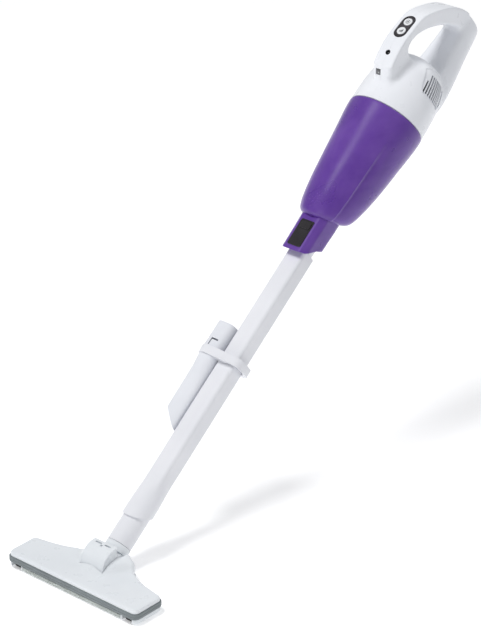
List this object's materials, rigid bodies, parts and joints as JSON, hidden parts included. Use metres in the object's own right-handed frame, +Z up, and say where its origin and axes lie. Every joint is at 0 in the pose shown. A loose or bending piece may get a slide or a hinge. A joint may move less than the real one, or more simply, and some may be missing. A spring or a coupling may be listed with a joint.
{
  "type": "cordless stick vacuum",
  "caption": "Stick vacuum with loop grip, two push buttons, see-through dust capsule, straight wand, clipped crevice tool and a wide floor head on a pitching, swivelling elbow.",
  "frame": {"origin": "centre of the floor head's flat underside", "axes": "+X along the floor head, +Y from its front edge towards the handle, +Z up"},
  "size_m": [0.229, 0.8146, 0.5966],
  "materials": {
    "white_plastic": "moulded white, satin",
    "grip_plastic": "moulded white, satin",
    "purple_clear": "see-through purple, glossy",
    "black_gloss": "glossy black",
    "dark_plastic": "matt dark grey",
    "band_grey": "soft grey bumper",
    "clear_plastic": "cloudy clear plastic",
    "black_rubber": "matt black rubber",
    "steel": "bright steel",
    "motor_metal": "plain metal",
    "cell_wrap": "blue sleeve over metal",
    "circuit_board": "green board",
    "felt": "short nap",
    "filter_cloth": "woven"
  },
  "bodies": {
    "housing": {"housing_left": "white_plastic", "housing_right": "white_plastic", "capsule_collar": "white_plastic", "button_panel": "black_gloss", "switch_board": "circuit_board", "charging_jack": "black_rubber", "work_light": "black_gloss", "fan_shroud": "dark_plastic", "motor_can": "motor_metal", "motor_mount": "black_rubber", "vent_screen_left": "dark_plastic", "vent_screen_right": "dark_plastic", "battery_cell_1": "cell_wrap", "battery_cell_2": "cell_wrap", "battery_cell_3": "cell_wrap", "control_board": "circuit_board", "seal_ring": "black_rubber", "filter_frame": "dark_plastic", "filter_cloth": "filter_cloth"},
    "rotor": {"impeller": "white_plastic", "motor_shaft": "steel"},
    "power_button": {"power_button": "grip_plastic"},
    "mode_button": {"mode_button": "grip_plastic"},
    "capsule": {"dust_capsule": "purple_clear", "neck_panel": "black_gloss", "flap_pin": "steel"},
    "flap": {"check_flap": "black_rubber"},
    "wand": {"wand": "white_plastic"},
    "clip": {"holder_clip": "white_plastic"},
    "crevice_tool": {"crevice_tool": "white_plastic"},
    "floor_tube": {"floor_tube": "white_plastic"},
    "elbow": {"elbow": "white_plastic"},
    "floor_head": {"head_cover": "white_plastic", "sole_plate": "clear_plastic", "bumper_band": "band_grey", "front_lip": "clear_plastic", "lint_strip_front": "felt", "lint_strip_rear": "felt", "sole_screw_1": "steel", "sole_screw_2": "steel", "sole_screw_3": "steel", "sole_screw_4": "steel", "pivot_pin_left": "steel", "pivot_pin_right": "steel", "wheel_fork_left": "dark_plastic", "wheel_fork_right": "dark_plastic", "wheel_axle_left": "steel", "wheel_axle_right": "steel"},
    "wheel_left": {"front_wheel_left": "black_rubber"},
    "wheel_right": {"front_wheel_right": "black_rubber"}
  },
  "joints": [
    {"name": "rotor_spin", "type": "hinge", "parent": "housing", "child": "rotor", "pos_m": [0, 0.64041, 0.48784], "axis": [0, 0.7843, 0.6203], "continuous": true},
    {"name": "power_press", "type": "slide", "parent": "housing", "child": "power_button", "axis": [0, 0.5036, -0.8639], "range_m": [0, 0.0008], "stiffness_N_per_m": 300, "springref_m": -0.002},
    {"name": "mode_press", "type": "slide", "parent": "housing", "child": "mode_button", "axis": [0, 0.5036, -0.8639], "range_m": [0, 0.0008], "stiffness_N_per_m": 300, "springref_m": -0.002},
    {"name": "capsule_twist", "type": "hinge", "parent": "housing", "child": "capsule", "pos_m": [0, 0.60277, 0.45807], "axis": [0, 0.7843, 0.6203], "range_deg": [0, 20]},
    {"name": "flap_swing", "type": "hinge", "parent": "capsule", "child": "flap", "pos_m": [0, 0.49166, 0.39059], "axis": [1, 0, 0], "range_deg": [0, 48]},
    {"name": "wand_pull", "type": "slide", "parent": "capsule", "child": "wand", "axis": [0, -0.7843, -0.6203], "range_m": [0, 0.04]},
    {"name": "clip_slide", "type": "slide", "parent": "wand", "child": "clip", "axis": [0, 0.7843, 0.6203], "range_m": [-0.035, 0.1]},
    {"name": "tool_pull", "type": "slide", "parent": "clip", "child": "crevice_tool", "axis": [0, -0.7843, -0.6203], "range_m": [0, 0.05]},
    {"name": "tube_pull", "type": "slide", "parent": "wand", "child": "floor_tube", "axis": [0, -0.7843, -0.6203], "range_m": [0, 0.035]},
    {"name": "head_swivel", "type": "hinge", "parent": "floor_tube", "child": "elbow", "pos_m": [0, 0.06784, 0.035], "axis": [0, 0.7843, 0.6203], "range_deg": [-90, 90]},
    {"name": "head_pitch", "type": "hinge", "parent": "elbow", "child": "floor_head", "pos_m": [0, 0.039, 0.0208], "axis": [1, 0, 0], "range_deg": [-40, 28]},
    {"name": "wheel_spin_left", "type": "hinge", "parent": "floor_head", "child": "wheel_left", "pos_m": [-0.098, -0.0178, 0.004], "axis": [1, 0, 0], "continuous": true},
    {"name": "wheel_spin_right", "type": "hinge", "parent": "floor_head", "child": "wheel_right", "pos_m": [0.098, -0.0178, 0.004], "axis": [1, 0, 0], "continuous": true}
  ]
}
